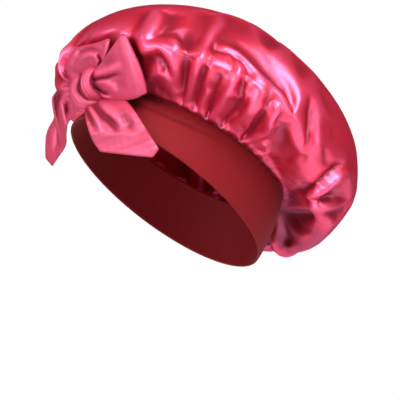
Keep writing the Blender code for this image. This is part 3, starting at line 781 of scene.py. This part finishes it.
ties = {
    "tieEndLeft": {
        "node": "tie_end_left", "way": "camera", "cut": (0.057, 0.075), "at": -3.3, "slope": (0.325, -0.478),
        "root": ((-2.2, -14.3), (6.4, -11.3), (15, -9), (22.8, -7.4)),
        "first": ((-2.2, -14.3), (-5.3, -21.6), (-4.3, -29), (-1.6, -38.4), (2.1, -47.6), (7.9, -56.4)),
        "last": ((22.8, -7.4), (30.9, -14.8), (37.2, -22.6), (44.2, -33.5), (52.1, -46), (57.8, -54.7)),
        "outer": ((7.9, -56.4), (15.9, -57.6), (29.7, -59.3), (41.7, -60.7), (51.6, -61.6), (53.2, -61.2),
                  (55, -58.8), (57.8, -54.7)),
        "folds": (
            ("creaseA", -3.4, 3.8, ((-4.5, -18), (-1.5, -25.8), (2.4, -33.8), (6.8, -43.9))),
            ("pleatA", 3, 3, ((-1.4, -19.1), (4.5, -27.7), (8.4, -36.7), (10.7, -46.2))),
            ("creaseB", -4.6, 6, ((0.1, -14.1), (10.7, -26.4), (17.2, -31.6), (21.9, -38), (24.9, -43.6))),
            ("swellB", 2.4, 7, ((9.8, -17.8), (21.9, -27.2), (30.5, -37.6))),
            ("creaseC", -2.4, 6, ((26.2, -24.7), (33.1, -34.1), (36.6, -41))),
            ("lowSwell", 1.1, 7, ((25.3, -49.7), (35.7, -47.9), (45.2, -41.9))),
            ("rightRidge", 0.9, 4, ((33.1, -21.2), (40.9, -33.3), (49.5, -47.1))),
        ),
    },
    "tieEndRight": {
        "node": "tie_end_right", "way": "axis", "cut": (0.048, 0.070), "at": -3.7, "slope": (1.443, -0.2555),
        "root": ((-11.7, -0.5), (-8.3, -8.3), (-4.8, -16)),
        "first": ((-11.7, -0.5), (-18.6, -7), (-26, -15.6), (-32.4, -25.1), (-38.5, -34.3), (-41.3, -42.2)),
        "last": ((-4.8, -16), (-5, -26.4), (-10.4, -34.3), (-15.2, -39.7), (-24.5, -53.4), (-35.3, -68.1)),
        "outer": ((-41.3, -42.2), (-41.6, -51.4), (-41.4, -60), (-40.3, -62.4), (-35.3, -68.1)),
        "folds": (
            ("valley", -4.2, 5, ((-19.5, -11.7), (-22.5, -19.5), (-23.8, -27.2), (-21.6, -35.9))),
            ("flapRidge", 2.6, 2.2, ((-17.8, -20.3), (-16.7, -27.2), (-15.9, -35), (-16.6, -39.7))),
            ("flapShade", -2.4, 2.8, ((-13.4, -20.3), (-13.2, -26.4), (-13.4, -32.4))),
            ("middleRidge", 1.3, 3.2, ((-28.8, -28.1), (-27.7, -36.7), (-24.7, -47.1))),
            ("leftRidge", 1.1, 4.2, ((-33.3, -33.3), (-35, -46.2), (-36.3, -58.3))),
            ("softValley", -1, 4, ((-30.7, -41), (-29.8, -48.8), (-30.7, -54.8))),
        ),
    },
}

# Wound strap round the bow's middle: right, up, toward, half-width and half-thickness in mm at places round a ring.
wounds = {
    "bowKnot": {
        "node": "bow_knot", "core": (0.8, 2, 0), "crease": 0.10,
        "ring": (
            (5.2, 14.5, -1.5, 3.2, 2.2), (1, 13.1, 6, 3.9, 2.8), (-3.4, 8.4, 10.2, 4.3, 3.2),
            (-4.7, 1.9, 12.2, 4.5, 3.4), (-2.4, -4.8, 11.6, 4.9, 3.4), (2.6, -9.8, 8, 5.3, 3.2),
            (8.1, -11.3, 1.5, 4.6, 3), (8.5, -7.4, -6, 4.2, 2.6), (5.9, 1.2, -9.5, 4, 2.4),
            (5.9, 9.8, -7.5, 3.6, 2.2),
        ),
    },
    "bowCrossing": {
        "node": "bow_crossing", "core": (-3.5, -5, -2.5), "crease": 0.07,
        "ring": (
            (-13.2, 4.2, -2, 4.4, 3.4), (-14.7, -4.4, 2.5, 4.9, 4.2), (-11.2, -12.6, 5.5, 6.2, 4.6),
            (-4.8, -16.2, 6.5, 5.2, 4.4), (2.5, -15, 4.5, 4.6, 3.8), (7.7, -11.7, -0.5, 4, 3.2),
            (6.4, -7, -6.5, 3.6, 2.8), (-0.1, -1.4, -9.5, 3.4, 2.8), (-7.4, 5.1, -8.5, 3.4, 2.8),
            (-11.7, 7.7, -5.5, 3.8, 3),
        ),
    },
}


# right, up, toward in mm from the knot's middle, as world metres
def bowPlace(p):
    return np.mean(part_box("bow_knot"), axis=0) + (p * 0.001) @ np.stack([viewRight, upward, viewToward])


# a curve through a short table, at equal steps along its length
def evenCurve(table, count):
    p = smoothRows(table, 24)
    far = np.concatenate([[0], np.cumsum(np.linalg.norm(np.diff(p, axis=0), axis=1))])
    want = np.linspace(0, far[-1], count)
    return np.stack([np.interp(want, far, p[:, k]) for k in range(p.shape[1])], -1)


# patch between four edge curves: the mixes of each facing pair, less the mix of the four corners
def edgePatch(strap, rows, columns):
    root, outer = evenCurve(strap["root"], columns), evenCurve(strap["outer"], columns)
    first, last = evenCurve(strap["first"], rows), evenCurve(strap["last"], rows)
    u, v = np.linspace(0, 1, rows)[:, None, None], np.linspace(0, 1, columns)[None, :, None]
    corners = (1 - u) * ((1 - v) * root[0] + v * root[-1]) + u * ((1 - v) * outer[0] + v * outer[-1])
    return (1 - v) * first[:, None] + v * last[:, None] + (1 - u) * root[None] + u * outer[None] - corners


# height in mm of a strap's folds: each is a hump along its path, faded at both ends
def strapFolds(right, up, folds):
    total = 0 * right
    for name, high, halfWidth, path in folds:
        away, along = pathDistance(right, up, path, 8)
        total = total + high * hump(away / halfWidth) * ease(along, -0.15, 0.15) * ease(1 - along, -0.05, 0.55)
    return total


# slow unevenness of soft cloth, in mm
def crumple(right, up, high):
    return high * (0.6 * np.sin(0.31 * right + 0.17 * up + 1.1) * np.sin(0.23 * up - 0.11 * right)
                   + 0.5 * np.sin(0.71 * right - 0.43 * up) * np.sin(0.37 * right + 0.61 * up + 0.6))


# the share of a row's distance from its edges, 1 inside and 0 at the sewn edge, that rolls the edge inwards
def edgeShare(columns, width):
    v = np.linspace(0, 1, columns)
    return np.clip(np.minimum(v, 1 - v) / width, 0, 1)


# smooths a piece of the bow, and puts it in place of its node
def bowPiece(obj, node):
    smoother(obj, 1)
    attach(obj, "root")
    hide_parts(node)


def strapPiece(name, strap, points, paintedTone, uv):
    obj = clothObject(name, points, gridFaces(*points.shape[:2]), uv, satinBow, paintedTone)
    solidify(obj, bowShape["wall"], 0.0)
    bowPiece(obj, strap["node"])
    return obj


# how much longer a strap's slope is than its view
def slopeStretch(strap):
    return math.sqrt(1 + strap["slope"][0] ** 2 + strap["slope"][1] ** 2)


# a strap's points on its slope, lifted off it
def onSlope(strap, right, up, lift):
    toward = strap["at"] + right * strap["slope"][0] + up * strap["slope"][1] + lift * slopeStretch(strap)
    return np.stack([right, up, toward], -1)


# way along the rows of a grid of points
def rowLengths(points):
    return np.cumsum(np.linalg.norm(np.diff(points, axis=0, prepend=points[:1]), axis=-1), axis=0)


# a strap out along its front layer, round its outer edge and back behind: the back layer is the front one less its
# fullness
def makeLoop(name, strap):
    rows, columns, steps = 97, 49, 121
    flat = edgePatch(strap, rows, columns)
    travel = np.linspace(-1, 1, steps)
    reach = 1 - np.abs(travel) ** bowShape["turnIn"]
    at = reach * (rows - 1)
    low = np.minimum(at.astype(int), rows - 2)
    k = (at - low)[:, None, None]
    place = flat[low] * (1 - k) + flat[low + 1] * k
    right, up = place[..., 0], place[..., 1]
    across = np.linspace(-1, 1, columns)[None, :]
    side = -np.sign(travel)[:, None]
    full = strap["full"] * np.sin(np.abs(travel) * math.pi)[:, None] * (1 - across**2 / 3)
    depth = full + strap["gap"] * np.clip(5 * np.abs(travel), 0, 1)[:, None]
    front = ease(-travel, 0.0, 0.12)[:, None]
    folds = strapFolds(right, up, strap["folds"])
    back = 1.2 * np.cos(2.5 * math.pi * across) * hump(2 * reach - 0.9)[:, None] * (1 - front)
    rolled = bowShape["edgeRoll"] * (1 - edgeShare(columns, 0.06)[None, :]) ** 2
    lift = side * depth + front * folds + back + crumple(right, up, 0.25) - side * rolled
    # painted shading: painted highlight and shade over the front layer's folds, painted shade along the rolled
    # edges, near the knot and over the whole back layer
    paintedTone = np.clip(front * folds / 3.0, -1, 1) - 0.25 * (1 - edgeShare(columns, 0.05)[None, :])
    paintedTone = paintedTone - 0.5 * (1 - ease(reach, 0.0, 0.25))[:, None] - 0.3 * (1 - front)
    length = rowLengths(place) * 0.001 * slopeStretch(strap)
    uv = np.stack([length, across * bowShape["halfStrap"] + 0 * length], -1)
    loop = strapPiece(name, strap, bowPlace(onSlope(strap, right, up, lift)), paintedTone, uv)
    return loop


# moves each row of points, away from the bonnet's axis or towards the camera, until the row is clear of the band
def clearOfBand(points, room, way):
    c, s = math.cos(leanAngle), math.sin(leanAngle)
    side, back, up = points[..., 0], points[..., 1] * c - points[..., 2] * s, points[..., 1] * s + points[..., 2] * c
    share = np.clip(up / bandShape["height"], 0, 1)
    halfWidth, halfLength = bandHalves(share)
    space = room + bandShape["swell"] + 0.8 * np.clip(up, None, 0)
    x, y = side / (halfWidth + space), (back - bandShape["seamShift"] * share) / (halfLength + space)
    if way == "axis":
        need = np.clip(1 / np.hypot(x, y) - 1, 0, None)
    else:
        # the way out of the band's ellipse along the view: the larger root of a quadratic
        p, q = viewToward[0] / (halfWidth + space), viewToward[1] * c / (halfLength + space)
        half, square = x * p + y * q, p * p + q * q
        root = np.sqrt(np.clip(half**2 - square * (x * x + y * y - 1), 0, None))
        need = np.where(np.hypot(x, y) < 1, (root - half) / square, 0)
    # the most that any of the rows near each one needs, averaged over as many
    near = 8
    need = np.pad(need.max(axis=1), 2 * near, mode="edge")
    need = np.lib.stride_tricks.sliding_window_view(need, 2 * near + 1).max(axis=1)
    weights = hump(np.linspace(-1, 1, 2 * near + 3))[1:-1]
    need = np.convolve(need, weights / weights.sum(), mode="valid")
    if way != "axis":
        return points + need[:, None, None] * viewToward
    grow = 1 + need[:, None]
    return leaned(side * grow, back * grow, up)


def makeTie(name, strap):
    rows, columns = 97, 61
    place = edgePatch(strap, rows, columns)
    right, up = place[..., 0], place[..., 1]
    travel = np.linspace(0, 1, rows)[:, None]
    folds = strapFolds(right, up, strap["folds"])
    edge = edgeShare(columns, 0.05)[None, :] * np.clip((1 - travel) / 0.04, 0, 1)
    lift = folds + crumple(right, up, 0.35) - bowShape["edgeRoll"] * (1 - edge) ** 2
    # painted shading: painted highlight and shade over the folds, painted shade along the rolled edges and near the
    # knot
    paintedTone = np.clip(folds / 2.4, -1, 1) - 0.7 * (1 - edge) - 0.7 * (1 - ease(travel, 0.0, 0.2))
    points = onSlope(strap, right, up, lift)
    length = rowLengths(points) * 0.001
    across = np.linspace(-bowShape["halfStrap"], bowShape["halfStrap"], columns)[None, :]
    uv = np.stack([length, across + 0 * length], -1)
    placed = clearOfBand(bowPlace(points), bowShape["wall"], strap["way"])
    tie = strapPiece(name, strap, placed, paintedTone, uv)


# a strap wound into a closed ring: an oval section carried round the ring, its flat side away from the core
def makeWound(name, wound):
    count, around, perSpan = 160, 48, 40
    ring = np.array(wound["ring"])
    path = smoothRows(np.vstack([ring[-2:], ring, ring[:3]]), perSpan)[2 * perSpan:-2 * perSpan]
    far = np.concatenate([[0], np.cumsum(np.linalg.norm(np.diff(path[:, :3], axis=0), axis=1))])
    want = np.linspace(0, far[-1], count, endpoint=False)
    path = np.stack([np.interp(want, far, path[:, k]) for k in range(5)], -1)
    along = unit(np.roll(path[:, :3], -1, axis=0) - np.roll(path[:, :3], 1, axis=0))
    away = path[:, :3] - np.array(wound["core"])
    out = unit(away - (away * along).sum(-1, keepdims=True) * along)
    side = np.cross(along, out)
    turn = np.linspace(0, 2 * math.pi, around, endpoint=False)[None, :]
    c, s = np.cos(turn), np.sin(turn)
    ovalSide, ovalOut = np.sign(c) * np.abs(c) ** 0.85, np.sign(s) * np.abs(s) ** 0.8
    t = want[:, None] / far[-1] * 2 * math.pi
    line = c - 0.25 - 0.18 * np.sin(t + 0.8)
    crease = wound["crease"] * hump(line / 0.22) + 0.6 * wound["crease"] * hump((line + 0.75) / 0.2)
    swell = 1 - crease * (s > 0) * np.abs(s) * 2.2
    points = (path[:, None, :3] + side[:, None] * (path[:, 3:4] * ovalSide)[..., None]
              + out[:, None] * (path[:, 4:5] * ovalOut * swell)[..., None])
    # painted shade in the creases and along the strap's two edges, and a little lighter all over
    paintedTone = -3.0 * crease * (s > 0) - 0.75 * ease(np.abs(c), 0.72, 1.0) + 0.1 + 0 * t
    faces = gridFaces(count, around, closedRows=True, closedColumns=True)
    uv = np.stack(np.broadcast_arrays(want[:, None] * 0.001, turn * 0.004), -1)
    obj = clothObject(name, bowPlace(points), faces, uv, satinBow, paintedTone)
    bowPiece(obj, wound["node"])
    return obj


bow = [makeLoop(name, strap) for name, strap in loops.items()]
bow = bow + [makeWound(name, wound) for name, wound in wounds.items()]
for name, strap in ties.items():
    makeTie(name, strap)
print("bow made")

makeCrown(bow)
print("crown made")

# camera, light and floor

def makeCamera():
    data = bpy.data.cameras.new("camera")
    data.sensor_width = 36.0
    data.lens = data.sensor_width * studio["distance"] / studio["frameWidth"]
    data.clip_end = 50
    camera = linked(bpy.data.objects.new("camera", data))
    camera.location = viewRight * studio["aimRight"] + upward * studio["aimUp"] + viewToward * studio["distance"]
    camera.rotation_euler = (math.pi / 2, 0, viewTurn)
    bpy.context.scene.camera = camera


# Softboxes that face the origin: azimuth and elevation in degrees, distance and size in metres, power in watts,
# colour, and whether the gloss shows them.
softboxes = (
    ("keySoftbox", 78, 46, 1.5, (1.1, 0.8), 42, (1.0, 0.97, 0.98), True),
    ("frontSoftbox", 15, 5, 1.6, (0.7, 0.9), 22, (1.0, 0.97, 1.0), True),
    ("leftSoftbox", -20, 25, 1.6, (0.3, 1.2), 9, (1.0, 0.97, 1.0), True),
    ("rightSoftbox", 105, 0, 1.4, (0.5, 0.6), 6, (1.0, 0.97, 1.0), True),
    ("backSoftbox", 235, 35, 1.8, (1.0, 0.8), 5, (1.0, 1.0, 1.0), False),
)


def areaLight(name, azimuth, elevation, distance, size, power, colour, glossy):
    a, e = math.radians(azimuth), math.radians(elevation)
    data = bpy.data.lights.new(name, "AREA")
    data.shape, data.size, data.size_y = "RECTANGLE", size[0], size[1]
    data.energy, data.color = power, colour
    light = linked(bpy.data.objects.new(name, data))
    away = np.array([math.sin(a) * math.cos(e), -math.cos(a) * math.cos(e), math.sin(e)])
    light.location = away * distance
    light.rotation_euler = (math.pi / 2 - e, 0, a)
    light.visible_glossy = glossy


# the world: white to the camera, one strength for lighting and another for gloss
def makeWorld():
    world = bpy.data.worlds.new("studioWorld")
    bpy.context.scene.world = world
    world.use_nodes = True
    tree = world.node_tree
    tree.nodes.clear()
    seen, lit, gloss = (
        addNode(tree, "ShaderNodeBackground", in_0=colour, in_1=strength).outputs[0]
        for colour, strength in (((1, 1, 1, 1), 1.0), ((1, 0.98, 0.98, 1), studio["world"]),
                                 ((1, 0.9, 0.95, 1), studio["glossWorld"])))
    rays = addNode(tree, "ShaderNodeLightPath").outputs
    dim = addNode(tree, "ShaderNodeMixShader", in_0=rays["Is Glossy Ray"], in_1=lit, in_2=gloss)
    mix = addNode(tree, "ShaderNodeMixShader", in_0=rays["Is Camera Ray"], in_1=dim.outputs[0], in_2=seen)
    addNode(tree, "ShaderNodeOutputWorld", in_0=mix.outputs[0])


# a plain pale floor under the part, a flat disc
def makeFloor():
    radius, sides = 1.2, 96
    turn = np.linspace(0, 2 * math.pi, sides, endpoint=False)
    rim = np.stack([radius * np.cos(turn), radius * np.sin(turn), 0 * turn + studio["floorAt"]], -1)
    floor = meshObject("floor", rim, np.arange(sides)[None, :])
    material = bpy.data.materials.new("floorPaint")
    material.use_nodes = True
    shader = material.node_tree.nodes["Principled BSDF"]
    shader.inputs["Base Color"].default_value = (0.86, 0.86, 0.86, 1)
    shader.inputs["Roughness"].default_value = 0.8
    floor.data.materials.append(material)


makeCamera()
for box in softboxes:
    areaLight(*box)
makeWorld()
makeFloor()
bpy.context.scene.view_settings.view_transform = "Standard"
print("studio made")
